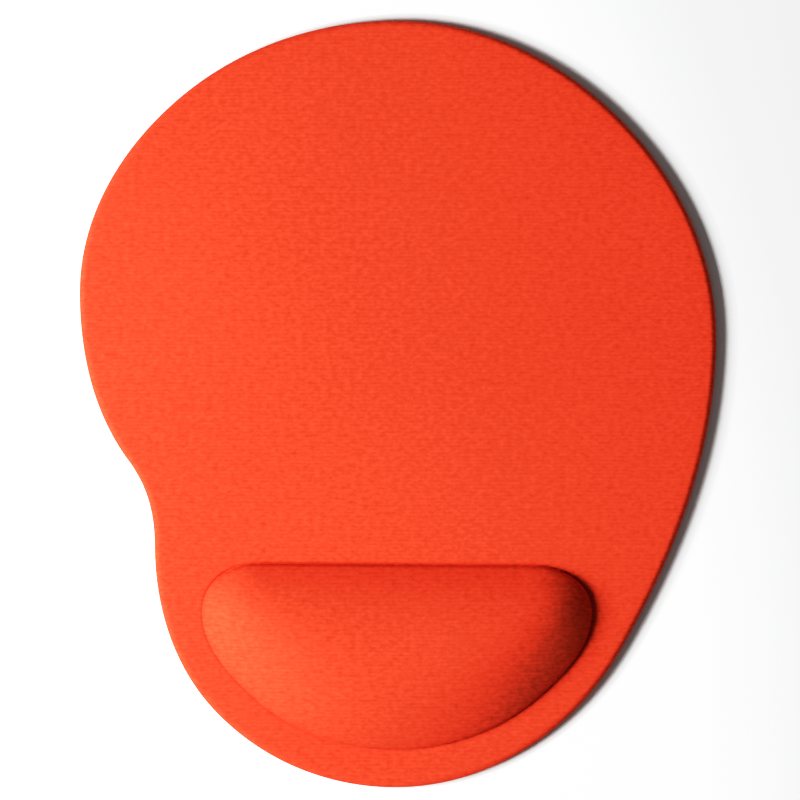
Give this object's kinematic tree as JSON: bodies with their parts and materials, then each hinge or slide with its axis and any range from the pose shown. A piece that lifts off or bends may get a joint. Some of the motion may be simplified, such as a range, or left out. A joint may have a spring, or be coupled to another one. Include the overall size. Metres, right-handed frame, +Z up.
{
  "type": "mouse pad with wrist rest",
  "caption": "Flat, cloth-covered mouse pad with a curved outline that draws in on one side, and a raised soft wrist cushion under the same cloth at its near end.",
  "frame": {"origin": "on the desk, under the centre of the bounding box", "axes": "+Y along the length, from the wrist cushion's end towards the mouse end; +X to the user's right; +Z up from the desk"},
  "size_m": [0.191, 0.23, 0.02],
  "materials": {
    "grip_rubber": "matt, embossed against slipping",
    "base_film": "thin hot-melt adhesive film",
    "board_foam": "fine closed-cell foam, matt",
    "top_film": "thin hot-melt adhesive film",
    "patch_film": "thin hot-melt adhesive film",
    "cushion_foam": "soft open-cell foam, matt",
    "cover_knit": "fine ribbed stretch knit, soft sheen"
  },
  "bodies": {
    "root": {"base_sheet": "grip_rubber", "base_adhesive_film": "base_film", "pad_board": "board_foam", "cover_adhesive_film": "top_film", "cushion_adhesive": "patch_film", "cushion_core": "cushion_foam", "fabric_cover": "cover_knit"}
  },
  "joints": []
}
